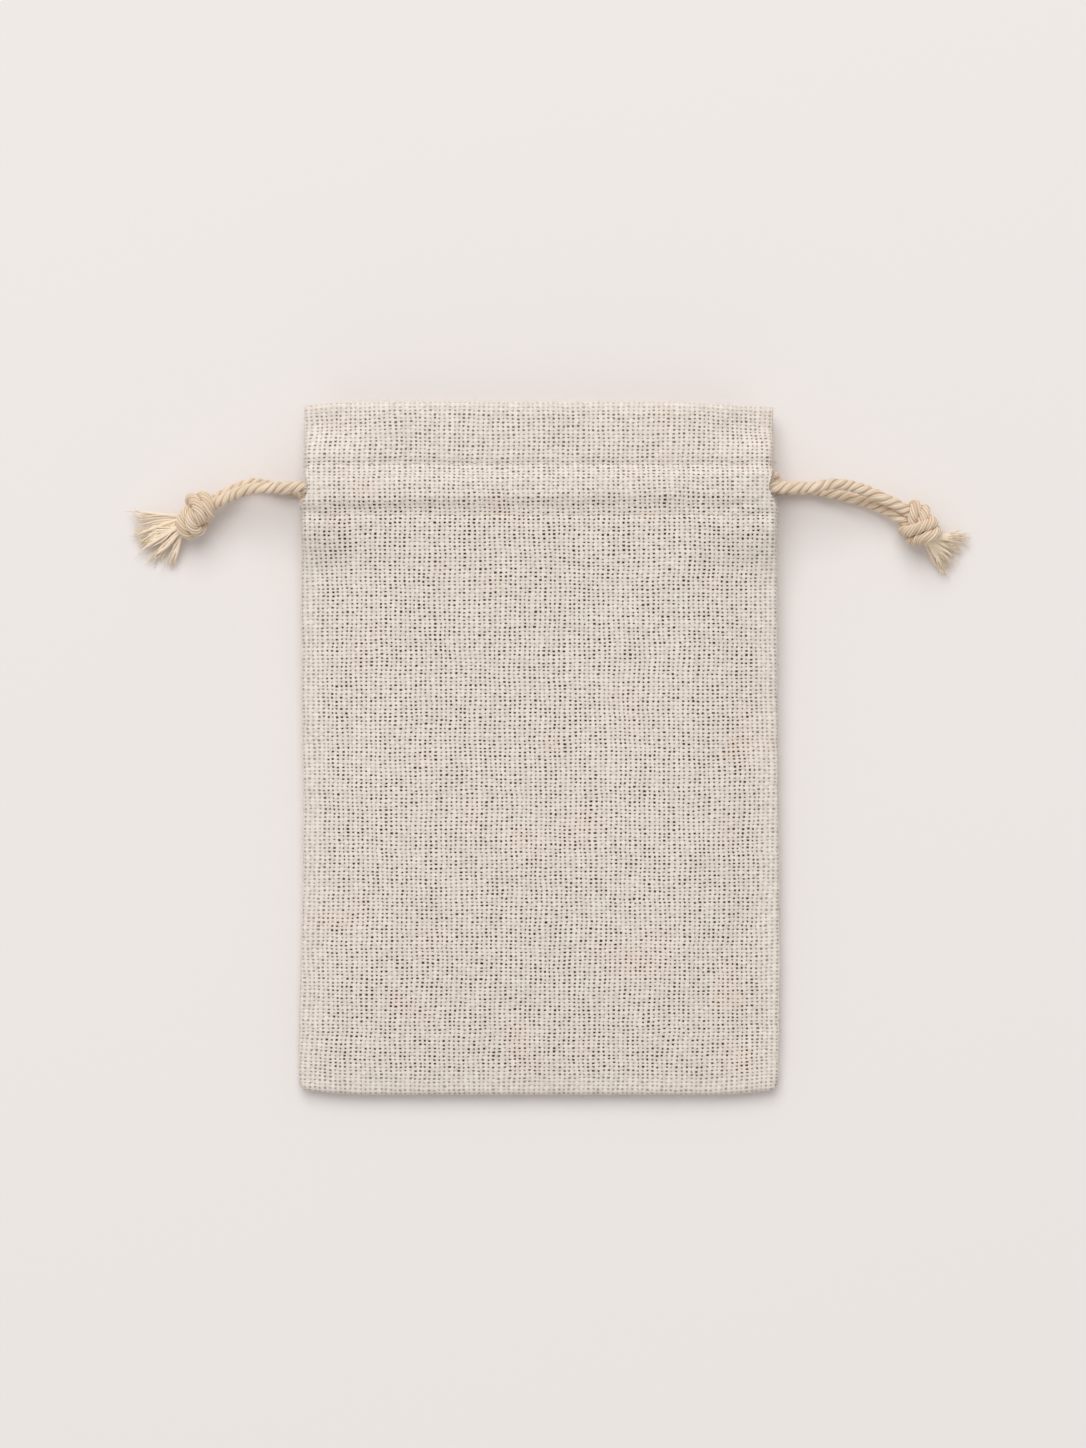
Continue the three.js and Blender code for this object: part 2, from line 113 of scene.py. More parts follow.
def smooth(t):
    t = np.clip(t, 0, 1)
    return t * t * (3 - 2 * t)


def lerp(a, b, t):
    return a + (b - a) * t


def bump_at(x, middle, width):
    return np.exp(-((x - middle) / width) ** 2)


def unit(v):
    return v / np.maximum(np.linalg.norm(v, axis=-1, keepdims=True), 1e-12)


def curve_through(points, per_span=24):
    """A centripetal curve through points, as many samples to each span."""
    p = np.asarray(points, float)
    p = np.vstack([2 * p[0] - p[1], p, 2 * p[-1] - p[-2]])
    out = []
    for i in range(1, len(p) - 2):
        four = p[i - 1:i + 3]
        knots = np.concatenate([[0], np.cumsum(np.linalg.norm(np.diff(four, axis=0), axis=1) ** 0.5)])
        t = np.linspace(knots[1], knots[2], per_span, endpoint=False)[:, None]

        def mix(a, b, ta, tb):
            return a * (tb - t) / (tb - ta) + b * (t - ta) / (tb - ta)

        a1 = mix(four[0], four[1], knots[0], knots[1])
        a2 = mix(four[1], four[2], knots[1], knots[2])
        a3 = mix(four[2], four[3], knots[2], knots[3])
        b1 = mix(a1, a2, knots[0], knots[2])
        b2 = mix(a2, a3, knots[1], knots[3])
        out.append(mix(b1, b2, knots[1], knots[2]))
    out.append(p[-2][None])
    return np.vstack(out)


def lengths_along(path):
    return np.concatenate([[0], np.cumsum(np.linalg.norm(np.diff(path, axis=0), axis=1))])


def evenly(path, step):
    """The same line with points a step apart, and how far along each one is."""
    length = lengths_along(path)
    at = np.linspace(0, length[-1], max(2, int(round(length[-1] / step)) + 1))
    return np.column_stack([np.interp(at, length, path[:, k]) for k in range(3)]), at


def carried_frames(path):
    """Side and up directions along a path that turn no more than the path does."""
    tangent = unit(np.gradient(path, axis=0))
    side = np.zeros_like(path)
    start = np.cross(tangent[0], [0, 0, 1])
    side[0] = unit(start if np.linalg.norm(start) > 0.1 else np.cross(tangent[0], [0, 1, 0]))
    for i in range(1, len(path)):
        side[i] = unit(side[i - 1] - tangent[i] * np.dot(side[i - 1], tangent[i]))
    return side, np.cross(side, tangent)


# Meshes

def add_mesh(name, points, faces, attributes):
    """A smooth mesh from points in millimetres, with vectors kept on its points."""
    mesh = bpy.data.meshes.new(name)
    mesh.from_pydata((np.asarray(points) * MM).tolist(), [], [list(f) for f in faces])
    mesh.shade_smooth()
    for key, values in attributes.items():
        attribute = mesh.attributes.new(key, "FLOAT_VECTOR", "POINT")
        attribute.data.foreach_set("vector", np.asarray(values, np.float32).ravel())
    piece = bpy.data.objects.new(name, mesh)
    bpy.context.scene.collection.objects.link(piece)
    return piece


def grid_faces(rows, columns, around=False):
    faces = []
    for i in range(rows - 1):
        for j in range(columns if around else columns - 1):
            a = i * columns + j
            b = i * columns + (j + 1) % columns
            faces.append((a, b, b + columns, a + columns))
    return faces


def tube(path, rings):
    """Points and faces of a tube whose rings are given, closed at both ends."""
    n, m, _ = rings.shape
    points = np.vstack([rings.reshape(-1, 3), path[:1], path[-1:]])
    faces = [face[::-1] for face in grid_faces(n, m, around=True)]
    for j in range(m):
        k = (j + 1) % m
        faces.append((n * m, k, j))
        faces.append((n * m + 1, (n - 1) * m + j, (n - 1) * m + k))
    return points, faces


def sheet_solid(rows, thickness):
    """A cloth's two faces and rim about a grid of points on its middle surface."""
    n, m, _ = rows.shape
    normal = unit(np.cross(np.gradient(rows, axis=1), np.gradient(rows, axis=0)))
    outer = (rows + normal * thickness / 2).reshape(-1, 3)
    inner = (rows - normal * thickness / 2).reshape(-1, 3)
    count = n * m
    faces = grid_faces(n, m)
    faces += [tuple(count + k for k in reversed(face)) for face in grid_faces(n, m)]
    rim = list(range(m)) + [i * m + m - 1 for i in range(1, n)]
    rim += [(n - 1) * m + j for j in range(m - 2, -1, -1)] + [i * m for i in range(n - 2, 0, -1)]
    for k, a in enumerate(rim):
        b = rim[(k + 1) % len(rim)]
        faces.append((b, a, count + a, count + b))
    return np.vstack([outer, inner]), faces


class Heap:
    """Many small meshes gathered into one."""

    def __init__(self):
        self.points, self.faces, self.marks, self.count = [], [], [], 0

    def add(self, points, faces, marks):
        self.points.append(points)
        self.faces += [tuple(self.count + k for k in face) for face in faces]
        self.marks.append(marks)
        self.count += len(points)

    def finish(self, name, mark):
        return add_mesh(name, np.vstack(self.points), self.faces, {mark: np.vstack(self.marks)})


# Drawcords

LAY = 6.4                              # one turn of the cord's three plies
PLY_OFFSET, PLY_RADIUS = 0.37, 0.63    # in cord radii
PLY_SWELL = 1.08                       # the plies stand out past the cord's mean radius
YARN_RIDGES = 9                        # yarns that show round the cord
KNOT_PRESS = 0.86                      # how near two strands press in a knot, in cord diameters
KNOT_STEP = 0.5
KNOT_PULL, KNOT_CENTRING = 0.3, 0.15   # how much of its way a knot goes in each round
CORD_STEP = 0.28
RUN_SIDES, TAIL_SIDES = 48, 84
RUN_STEPS, BIGHT_STEPS = 60, 40
FIRST_PHASE, PHASE_STEP = 0.4, 1.3     # where the plies start, in the first cord and from cord to cord


def lane_y(lane, x):
    return CASING_MIDDLE + LANE_SHIFT + lane * (CORD + LANE_GAP) / 2 + LANE_RISE * x / (2 * HALF_WIDTH)


def cord_section(sides):
    """Three round plies laid together: radius and groove depth at each angle."""
    angle = np.linspace(0, 2 * np.pi, sides, endpoint=False)
    off = (angle + np.pi / 3) % (2 * np.pi / 3) - np.pi / 3
    radius = PLY_OFFSET * np.cos(off) + np.sqrt(PLY_RADIUS ** 2 - (PLY_OFFSET * np.sin(off)) ** 2)
    return angle, radius, (1 - radius) / (1 - radius.min())


def twisted_cord(name, path, phase, sides, knotted=math.inf):
    """A cord of three plies, laid left-handed along a path. In a knot its yarns show more than the plies, as
    ridges and as painted shade in the valleys between them.
    """
    path, at = evenly(path, CORD_STEP)
    side, up = carried_frames(path)
    angle, radius, groove = cord_section(sides)
    tight = smooth((at - knotted) / 4)[:, None]
    slack = (0.35 * np.sin(0.55 * at + 3 * phase) + 0.2 * np.sin(1.3 * at + phase))[:, None]
    a = angle + phase + 2 * np.pi * at[:, None] / LAY + slack
    ridge = np.cos(YARN_RIDGES * angle + 1.2 * at[:, None] + slack)
    r = CORD / 2 * PLY_SWELL * lerp(radius, radius.mean(), 0.35 * tight)
    r = r * (1 + 0.03 * np.sin(1.7 * at + 5 * phase)[:, None] * np.cos(2 * angle + phase))
    r = r * (1 + lerp(0.03, 0.06, tight) * ridge)
    rings = path[:, None, :] + r[..., None] * (
        np.cos(a)[..., None] * side[:, None, :] + np.sin(a)[..., None] * up[:, None, :])
    points, faces = tube(path, rings)
    # Painted shade kept on the points: the grooves between plies, and in a knot the valleys between yarn
    # ridges, are to be darkened
    groove_shade = np.maximum(groove * (1 - 0.3 * tight), (0.45 + 0.5 * tight) * smooth(-1.1 * ridge))
    lay = np.stack(np.broadcast_arrays(at[:, None], angle / (2 * np.pi), groove_shade), axis=-1).reshape(-1, 3)
    lay = np.vstack([lay, [[0, 0, 1], [at[-1], 0, 1]]])
    return add_mesh(name, points, faces, {"lay": lay}), path, at[-1]


def knot_place(knot, points):
    """Turns a knot about its own axis and then on the table, and moves it to its place."""
    roll, turn = math.radians(knot["roll"]), math.radians(knot["turn"])
    place = (knot["side"] * (HALF_WIDTH + knot["out"]), CASING_MIDDLE + knot["up"], knot["z"])
    matrix = Matrix.Translation(place) @ Matrix.Rotation(turn, 4, "Z") @ Matrix.Rotation(roll, 4, "X")
    matrix = np.array(matrix)
    return np.asarray(points, float) @ matrix[:3, :3].T + matrix[:3, 3]


def knot_strands(knot):
    """Two strands side by side along the knot's path, the higher one first."""
    path = curve_through(KNOT_STRAND, 6) * [1, knot["hand"], 1]
    tangent = unit(np.gradient(path, axis=0))
    aside = unit(np.cross(tangent, path * [0, 1, 1]))
    strands = [knot_place(knot, (path + aside * half) * CORD) for half in (0.5, -0.5)]
    return sorted(strands, key=lambda strand: -strand[0][2])


def press_apart(strands):
    """Moves strands that cut into each other, or a strand that cuts into itself, apart."""
    p = np.vstack(strands)
    owner = np.concatenate([np.full(len(s), k) for k, s in enumerate(strands)])
    place = np.concatenate([np.arange(len(s)) for s in strands])
    apart = p[:, None, :] - p[None, :, :]
    distance = np.linalg.norm(apart, axis=2)
    along = np.abs(place[:, None] - place[None, :]) * KNOT_STEP
    same = (owner[:, None] == owner[None, :]) & (along < 1.5 * CORD)
    short = np.where(same, 0, np.maximum(KNOT_PRESS * CORD - distance, 0))
    push = ((short / np.maximum(distance, 0.05))[..., None] * apart).sum(axis=1)
    p += 0.5 * push / np.sqrt(np.maximum((short > 0).sum(axis=1), 1))[:, None]
    p[:, 2] = np.maximum(p[:, 2], CORD / 2)
    for k, s in enumerate(strands):
        s[1:-1] = p[owner == k][1:-1]


def knot_middle(strands):
    wraps = np.vstack([s[len(s) * 3 // 8:len(s) * 7 // 8] for s in strands])
    return (wraps.min(axis=0) + wraps.max(axis=0)) / 2


def drawn_tight(strands, middle, neck, rounds=170):
    """Shortens a knot's strands until they press on each other, and brings the knot to its middle."""
    strands = [evenly(s, KNOT_STEP)[0] for s in strands]
    for number in range(rounds):
        for s in strands:
            s[1:-1] += KNOT_PULL * ((s[:-2] + s[2:]) / 2 - s[1:-1])
        for _ in range(3):
            press_apart(strands)
        off = middle - knot_middle(strands)
        for s in strands:
            s[1:-1] += KNOT_CENTRING * off * np.sin(np.linspace(0, np.pi, len(s)))[1:-1, None]
        if number % 5 == 4:
            strands = [evenly(s, KNOT_STEP)[0] for s in strands]
    off = middle - knot_middle(strands)
    for s in strands:
        s += off * smooth(np.linspace(0, 3, len(s)))[:, None]
    ends = [np.nonzero(np.linalg.norm(s - middle, axis=1) < neck)[0][-1] for s in strands]
    return [s[:end + 1] for s, end in zip(strands, ends)]


def eased(path, about, reach, rounds=60):
    """The path with its bend near one of its points made gentle."""
    path, at = evenly(path, KNOT_STEP)
    share = bump_at(at, about, reach)[1:-1, None]
    for _ in range(rounds):
        path[1:-1] += 0.5 * share * ((path[:-2] + path[2:]) / 2 - path[1:-1])
    return path


def tail_paths(name, knot):
    """A drawcord's two tails, from inside their casings to the knot's end, and where the knot begins."""
    heads, strands = [], []
    for ply, level, strand in zip(("front", "back"), (FRONT_CORD_Z, BACK_CORD_Z), knot_strands(knot)):
        tail = f"{name}_{ply}"
        head = []
        for out in (-TAIL_START, 0, TAIL_STRAIGHT / 2, TAIL_STRAIGHT):
            x = knot["side"] * (HALF_WIDTH + out)
            drift = FANS[tail] * smooth((out - FAN_START) / FAN_REACH)
            head.append((x, lane_y(knot["lane"], x) + drift, level))
        for out, up, z in ROUTES[tail]:
            head.append((knot["side"] * (HALF_WIDTH + out), CASING_MIDDLE + up, z))
        heads.append(curve_through(head, 12))
        strands.append(curve_through(np.vstack([head[-1:], strand]), 6))
    middle = knot_place(knot, [(0, 0, 0)])[0]
    paths = []
    for head, strand in zip(heads, drawn_tight(strands, middle, knot["neck"])):
        reach = lengths_along(head)[-1]
        paths.append((eased(np.vstack([head, strand[1:]]), reach, 2.5), reach + 4))
    return paths


def loop_path(side, lane):
    """A drawcord's loop: the front casing, the bight past the far edge, the back casing."""
    radius = (FRONT_CORD_Z - BACK_CORD_Z) / 2
    start = side * (HALF_WIDTH - TAIL_START)
    turn = -side * (HALF_WIDTH + BIGHT_REACH - CORD / 2 - radius)
    angle = np.linspace(0, np.pi, BIGHT_STEPS)
    run = np.linspace(start, turn, RUN_STEPS)
    level = np.ones(RUN_STEPS - 1)
    x = np.concatenate([run[:-1], turn - side * radius * np.sin(angle), run[-2::-1]])
    z = BACK_CORD_Z + radius * (1 + np.cos(angle))
    z = np.concatenate([FRONT_CORD_Z * level, z, BACK_CORD_Z * level])
    tuck = np.concatenate([0 * level, np.sin(angle) ** TUCK_SHARPNESS, 0 * level])
    return np.column_stack([x, lane_y(lane, x) - lane * BIGHT_TUCK * tuck, z])


cotton_pieces, frayed_pieces, tails = [], [], {}
for name, knot in KNOTS.items():
    loop = loop_path(knot["side"], knot["lane"])
    run, _, _ = twisted_cord(f"{name}_cord_run", loop, FIRST_PHASE, RUN_SIDES)
    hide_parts(f"{name}_cord_loop")
    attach(run, f"{name}_drawcord")
    cotton_pieces.append(run)
    for number, (ply, (path, knotted)) in enumerate(zip(("front", "back"), tail_paths(name, knot))):
        phase = FIRST_PHASE + PHASE_STEP * number
        cord, line, length = twisted_cord(f"{name}_{ply}_cord", path, phase, TAIL_SIDES, knotted)
        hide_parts(f"{name}_{ply}_tail", f"{name}_knot")
        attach(cord, f"{name}_drawcord")
        cotton_pieces.append(cord)
        tails[name, ply] = cord, line, length


# Tassels

# The cord ends opened out, as bundles of yarns: heading in degrees, reach, height at the tip
FRINGES = {
    "left": [(178, 11.2, 1.1), (187, 11.0, 0.5), (196, 11.0, 1.0), (206, 11.8, 0.5), (214, 11.6, 0.9),
             (224, 10.4, 0.4), (236, 9.8, 0.8), (248, 9.6, 0.4), (257, 10.4, 0.6)],
    "right": [(3, 9.6, 1.0), (-6, 9.4, 0.5), (-15, 8.8, 0.9), (-26, 8.0, 0.4), (-36, 8.2, 0.9),
              (-46, 8.8, 1.0), (-54, 9.0, 0.5), (-61, 8.4, 0.7)],
}
YARNS, YARN_SPREAD = 6, 9       # yarns in a bundle, and degrees across it
FIBRES = 3                      # fine fibres that stray from each yarn


def round_strand(path, thickness, sides):
    """A thin round strand that tapers to its tip, with its lay marks."""
    at = lengths_along(path)
    side, up = carried_frames(path)
    share = at / at[-1]
    radius = thickness / 2 * (1 - 0.2 * share - 0.65 * smooth((share - 0.7) / 0.3))
    a = np.linspace(0, 2 * np.pi, sides, endpoint=False)
    rings = path[:, None, :] + radius[:, None, None] * (
        np.cos(a)[None, :, None] * side[:, None, :] + np.sin(a)[None, :, None] * up[:, None, :])
    points, faces = tube(path, rings)
    around = np.tile(a / (2 * np.pi), len(path))
    lay = np.column_stack([np.repeat(at, sides), around, np.zeros(len(around))])
    return points, faces, np.vstack([lay, [[0, 0, 0], [at[-1], 0, 0]]])


def add_tassel(name):
    """Yarns that leave the knot in bundles, fan onto the table and end in fine fibres."""
    heap = Heap()
    ends = [tails[name, ply][1] for ply in ("front", "back")]
    for number, (heading, reach, lift) in enumerate(FRINGES[name]):
        line = ends[number % 2]
        root = line[-1]
        onward = unit(line[-1] - line[-8])
        bundle = chance.normal(0, 0.3, 3)
        for k in range(YARNS):
            a = math.radians(heading + YARN_SPREAD * (k / (YARNS - 1) - 0.5) + chance.normal(0, 2.0))
            far = reach * chance.uniform(0.84, 1.04)
            out = np.array([math.cos(a), math.sin(a), 0])
            start = root - 2.2 * onward + 0.5 * bundle + chance.normal(0, 0.12, 3)
            near = root + 0.5 * onward + bundle + chance.normal(0, 0.14, 3) + [0, 0, 0.5]
            tip = root * [1, 1, 0] + far * out + [0, 0, lift + chance.uniform(0.2, 0.8)]
            middle = lerp(near, tip, 0.5) + chance.normal(0, 0.2, 3)
            late = lerp(near, tip, 0.8) + chance.normal(0, 0.22, 3)
            points = np.array([start, near, middle, late, tip])
            points[1:, 2] = np.maximum(points[1:, 2], 0.45)
            path, _ = evenly(curve_through(points, 6), 0.6)
            thickness = chance.uniform(0.66, 0.88) if k % 2 else chance.uniform(0.36, 0.5)
            heap.add(*round_strand(path, thickness, 8))
            for _ in range(FIBRES):
                first = path[int(len(path) * chance.uniform(0.66, 0.94))]
                b = a + chance.normal(0, 0.22)
                stray = chance.uniform(1.2, 2.8)
                end = first + stray * np.array([math.cos(b), math.sin(b), chance.normal(0, 0.2)])
                bend = lerp(first, end, 0.5) + chance.normal(0, 0.18, 3)
                fibre = np.array([first, bend, end])
                fibre[:, 2] = np.maximum(fibre[:, 2], 0.12)
                heap.add(*round_strand(curve_through(fibre, 3), chance.uniform(0.10, 0.18), 4))
    tassel = heap.finish(f"{name}_fringe", "lay")
    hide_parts(f"{name}_tassel")
    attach(tassel, f"{name}_drawcord")
    frayed_pieces.append(tassel)
    return tassel


for name, knot in KNOTS.items():
    fringe = add_tassel(name)
    edge = knot["side"] * HALF_WIDTH
    for ply, z in (("front", FRONT_CORD_Z), ("back", BACK_CORD_Z)):
        cord, line, length = tails[name, ply]
        leaves = np.array([edge, lane_y(knot["lane"], edge), z]) * MM
        length * MM
        line * MM


# Cloth panels

SIDE_ROLL, BOTTOM_ROLL = 1.3, 1.1      # how far in the front cloth rounds over at its sewn edges
BACK_ROLL = 1.0                        # the back cloth rounds up more, by this share of the seam's height
FOOT, CREST = BOTTOM - 0.55, TOP - 0.2
SEWN_OFFSET = 0.3                      # a panel's sewn edge from the seam line
EDGE_RISE = 1.4                        # cloth lying on the seam allowance, above the seam line
ROLL_STEPS, SPAN_STEPS = 8, 100
CASING_LEVEL = 11.02                   # the front line's height in the casing
RIDGE_FOOT, RIDGE_HEAD = 50.4, 60.2    # where the front cloth starts to rise over the cords
RIDGE_HALF = 1.2                       # half the width of its level top
NOTCH, NOTCH_RISE, NOTCH_WIDTH = 1.3, 0.4, 2.9    # how the sides draw in at the cords
EDGE_WANDER = 0.07
FRONT_LINE = curve_through([
    (0, -73.6, 3.9), (0, -66, 5.0), (0, -49, 7.0), (0, -28, 8.4), (0, 5, 9.4), (0, 38, 10.6),
    (0, 49, 11.05), (0, 62, 11.0), (0, 69.5, 10.95), (0, 71.8, 10.75), (0, 73.6, 10.2)], 12)
# How far each sewn edge stands out from a straight line, along the pouch
SIDE_LINES = {
    -1: [(-75, 1.1), (-66, 1.2), (-54, 1.0), (-34, 0.35), (-8, 0.15), (12, 0.4), (50, 0.45), (58, 0.15),
         (64, -0.15), (76, -0.2)],
    1: [(-75, 0.6), (-62, 0.95), (-46, 1.05), (-24, 0.8), (-4, 0.55), (14, 0.35), (48, 0.3), (58, -0.3),
        (64, -0.6), (76, -0.6)],
}
# Puckers by the cords' exits: place, direction, length, width and height
PUCKERS = [
    (-47.5, 59.2, 0.93, 0.37, 5.0, 1.0, 0.38), (-47.0, 51.2, 0.95, -0.3, 6.0, 1.0, 0.36),
    (-44.0, 56.9, 0.99, 0.12, 6.5, 0.9, 0.2), (47.2, 59.8, -0.94, 0.34, 5.0, 1.0, 0.36),
    (46.8, 51.4, -0.96, -0.28, 6.0, 1.0, 0.36), (43.5, 53.2, -0.99, -0.1, 7.0, 0.9, 0.2),
]
# Heights on the pouch of the rows of points down a hem
HEM_ROWS = (70, 66, 62.5, 61.3, 60.5, 59.9, 59.2, 58.4, 56.5, 54, 52, 51, 50.4, 49.7, 49, 48.1, 47.2)


def edge_x(y):
    inside = np.clip(1 - (y - FOOT - CLOTH / 2) / CORNER, 0, 1)
    return HALF_WIDTH - CLOTH / 2 - CORNER * (1 - np.sqrt(1 - inside ** 2))


def seam_z(y):
    return lerp(2.4, 6.1, np.clip((y - BOTTOM) / (LOWER_STITCH - BOTTOM), 0, 1))


def side_wander(y, side):
    ys, outs = zip(*SIDE_LINES[side])
    return np.interp(y, ys, outs) + 0.35 * bump_at(y, 51.2, 1.6) - 0.2 * bump_at(y, 59.6, 1.4)


def slit_share(y):
    """How open the side is for the cords: 1 in the casing, 0 where it is sewn."""
    return smooth((y - LOWER_STITCH - 0.3) / 1.8) * smooth((UPPER_STITCH - 0.3 - y) / 1.8)


def wrinkles(x, y):
    """Slow swells of the cloth, and its puckers by the cords' exits."""
    z = 0.10 * np.sin(0.21 * x + 0.9) * np.sin(0.17 * y + 0.4)
    z += 0.06 * np.sin(0.37 * x - 0.29 * y + 2.0) + 0.05 * np.sin(0.16 * x + 0.45 * y)
    casing = smooth((y - 44) / 6) * smooth((70 - y) / 6)
    z += 0.05 * casing * np.sin(1.15 * x + 1.5 * np.sin(0.11 * x))
    for px, py, ux, uy, length, width, height in PUCKERS:
        along = (x - px) * ux + (y - py) * uy
        aside = -(x - px) * uy + (y - py) * ux
        z = z + height * np.exp(-(along / length) ** 2 - (aside / width) ** 2)
    return z


def front_height(x, y):
    """The front cloth's middle surface, with a ridge over the two cords and a dip at each stitch row."""
    level = np.interp(y, FRONT_LINE[:, 1], FRONT_LINE[:, 2])
    held = smooth((y - 36) / 12) * smooth((69 - y) / 7)
    low = (1 - smooth((HALF_WIDTH - np.abs(x)) / 20)) * (1 - held)
    level = lerp(level, np.minimum(level, seam_z(y) + EDGE_RISE), low)
    middle = lane_y(0, x)
    below = smooth((y - RIDGE_FOOT) / (middle - RIDGE_HALF - RIDGE_FOOT))
    above = smooth((RIDGE_HEAD - y) / (RIDGE_HEAD - middle - RIDGE_HALF))
    ridge = (CASING_TOP - CASING_LEVEL) * np.minimum(below, above)
    dips = 0.30 * bump_at(y, UPPER_STITCH, 0.8) + 0.2 * bump_at(y, LOWER_STITCH, 0.8)
    return level + ridge - dips + wrinkles(x, y) * smooth((HALF_WIDTH - np.abs(x)) / 3)


def back_height(x, y):
    """The back cloth's middle surface: flat on the table but for a groove at each stitch row."""
    groove = bump_at(y, UPPER_STITCH, 0.6) + bump_at(y, LOWER_STITCH, 0.6)
    return CLOTH / 2 + 0.25 * groove + np.zeros_like(x)


def hem_gap(y):
    slack = smooth((y - LOWER_STITCH) / 1.6) * smooth((UPPER_STITCH - y) / 1.6)
    return lerp(PLY_PITCH, CASING_PITCH, slack)


def panel_rows(height, up):
    """Points of a panel, row by row from its bottom edge to its top fold and down its hem."""
    angle = np.linspace(0, np.pi / 2, ROLL_STEPS + 1)
    span = np.linspace(0, 1, SPAN_STEPS + 1)[1:-1]
    share = np.concatenate([np.sin(angle), np.ones(len(span)), np.sin(angle)[::-1]])

    def outer_row(y, lift):
        slit = slit_share(y)
        side_roll = SIDE_ROLL + (0 if up > 0 else BACK_ROLL * seam_z(y))
        notch = NOTCH * bump_at(y, CASING_MIDDLE + NOTCH_RISE, NOTCH_WIDTH)
        left = -edge_x(y) - side_wander(y, -1) + notch + chance.normal(0, EDGE_WANDER)
        right = edge_x(y) + side_wander(y, 1) - notch + chance.normal(0, EDGE_WANDER)
        inset = side_roll * (1 - np.cos(angle))
        level = lerp(left + side_roll, right - side_roll, span)
        x = np.concatenate([left + inset, level, right - inset[::-1]])
        full = height(x, y)
        edge = lerp(seam_z(y) + up * SEWN_OFFSET, full, slit)
        return np.column_stack([x, np.full(len(x), y), edge + lift * share * (full - edge)])

    foot = FOOT + CLOTH / 2
    foot_roll = BOTTOM_ROLL + (0 if up > 0 else BACK_ROLL * seam_z(BOTTOM))
    roll = np.linspace(0, np.pi / 2, 9)[:-1]
    rows = [outer_row(foot + foot_roll * (1 - math.cos(a)), math.sin(a)) for a in roll]
    fold_y = CREST - CLOTH / 2 - PLY_PITCH / 2
    stations = np.concatenate([
        np.linspace(foot + foot_roll, LOWER_STITCH - 1.5, 150),
        np.linspace(LOWER_STITCH - 1.5, UPPER_STITCH + 1.5, 50)[1:],
        np.linspace(UPPER_STITCH + 1.5, fold_y, 18)[1:],
    ])
    rows += [outer_row(y, 1.0) for y in stations]
    top = rows[-1]
    narrow = (HALF_WIDTH - HEM_SETBACK) / np.abs(top[0, 0])
    hem_x = top[:, 0] * narrow
    hem_z = height(hem_x, fold_y) - up * PLY_PITCH
    for turned in np.linspace(0, np.pi, 11)[1:]:
        part = (1 - math.cos(turned)) / 2
        y = np.full(len(top), fold_y + PLY_PITCH / 2 * math.sin(turned))
        rows.append(np.column_stack([lerp(top[:, 0], hem_x, part), y, lerp(top[:, 2], hem_z, part)]))
    for y in HEM_ROWS:
        rows.append(np.column_stack([hem_x, np.full(len(hem_x), y), height(hem_x, y) - up * hem_gap(y)]))
    return np.array(rows)


def shape_ends(rows):
    """Lets the top edge dip to the right and the bottom edge lift towards its corners."""
    x, y = rows[..., 0], rows[..., 1]
    header = smooth((y - 62) / 12)
    foot = smooth((-58 - y) / 16)
    rows[..., 1] -= header * (0.75 * smooth((x - 22) / 26) + 0.4 * smooth((-x - 42) / 8))
    rows[..., 1] += foot * (0.3 * smooth((np.abs(x) - 36) / 10) + 0.55 * smooth((np.abs(x) - 43) / 7))
    return rows


def flat_marks(rows, backed=None):
    """Where each point lay when its cloth was flat, and how well it is backed by the cloth under it."""
    n, m, _ = rows.shape
    across = np.cumsum(np.linalg.norm(np.diff(rows, axis=1, prepend=rows[:, :1]), axis=2), axis=1)
    across -= across[:, m // 2, None]
    along = lengths_along(rows[:, m // 2])
    if backed is None:
        # Backing weakens the painted shade in the weave's holes: near the sides and bottom, over the
        # casing's hem, and most at the top fold
        inside = np.minimum(np.minimum(across - across[:, :1], across[:, -1:] - across), along[:, None])
        fold = np.abs(along - along[rows[:, m // 2, 1].argmax()])[:, None]
        hemmed = 0.35 * smooth((rows[..., 1] - 53) / 2) + 1.3 * (1 - smooth((fold - 0.6) / 2.5))
        backed = np.maximum(1 - smooth((inside - 2) / 5), hemmed)
    marks = np.stack(np.broadcast_arrays(across, along[:, None], backed), axis=-1).reshape(-1, 3)
    width = (across[:, -1] - across[:, 0]).max()
    return np.vstack([marks, marks]), (width * MM, along[-1] * MM)


linen_pieces = []
# SOLID keeps the fuzz fibres free of the painted hole shade
SOLID = 2.5                            # a backing that lets no hole show


def add_fuzz(heap, rows):
    """Short stray fibres along the front panel's sides, its bottom edge and its top fold."""
    outer = [i for i in range(len(rows)) if rows[:i + 1, 0, 1].argmax() == i]
    places = [(rows[i, 0], (-1, 0, 0)) for i in outer] + [(rows[i, -1], (1, 0, 0)) for i in outer]
    places += [(p, (0, -1, 0)) for p in rows[0, 8:-8]] + [(p, (0, 1, 0)) for p in rows[outer[-1], 8:-8]]
    for place, out in places:
        for _ in range(2):
            way = unit(np.array(out) + chance.normal(0, 0.55, 3) * [1, 1, 0.5])
            tip = place + chance.uniform(0.5, 1.3) * way
            bend = lerp(place, tip, 0.5) + chance.normal(0, 0.12, 3)
            fibre = np.array([place, bend, tip])
            points, faces, lay = round_strand(fibre, chance.uniform(0.06, 0.11), 3)
            heap.add(points, faces, lay * [0.1, 0, 0] + [place[0], place[1], SOLID])


def add_panel(name, node, height, up):
    rows = shape_ends(panel_rows(height, up))
    marks, flat = flat_marks(rows)
    heap = Heap()
    heap.add(*sheet_solid(rows if up > 0 else rows[:, ::-1], CLOTH), marks)
    if up > 0:
        add_fuzz(heap, rows)
    panel = heap.finish(name, "cloth")
    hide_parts(node)
    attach(panel, "pouch")
    linen_pieces.append(panel)


add_panel("front_cloth", "front_panel", front_height, 1)
add_panel("back_cloth", "back_panel", back_height, -1)


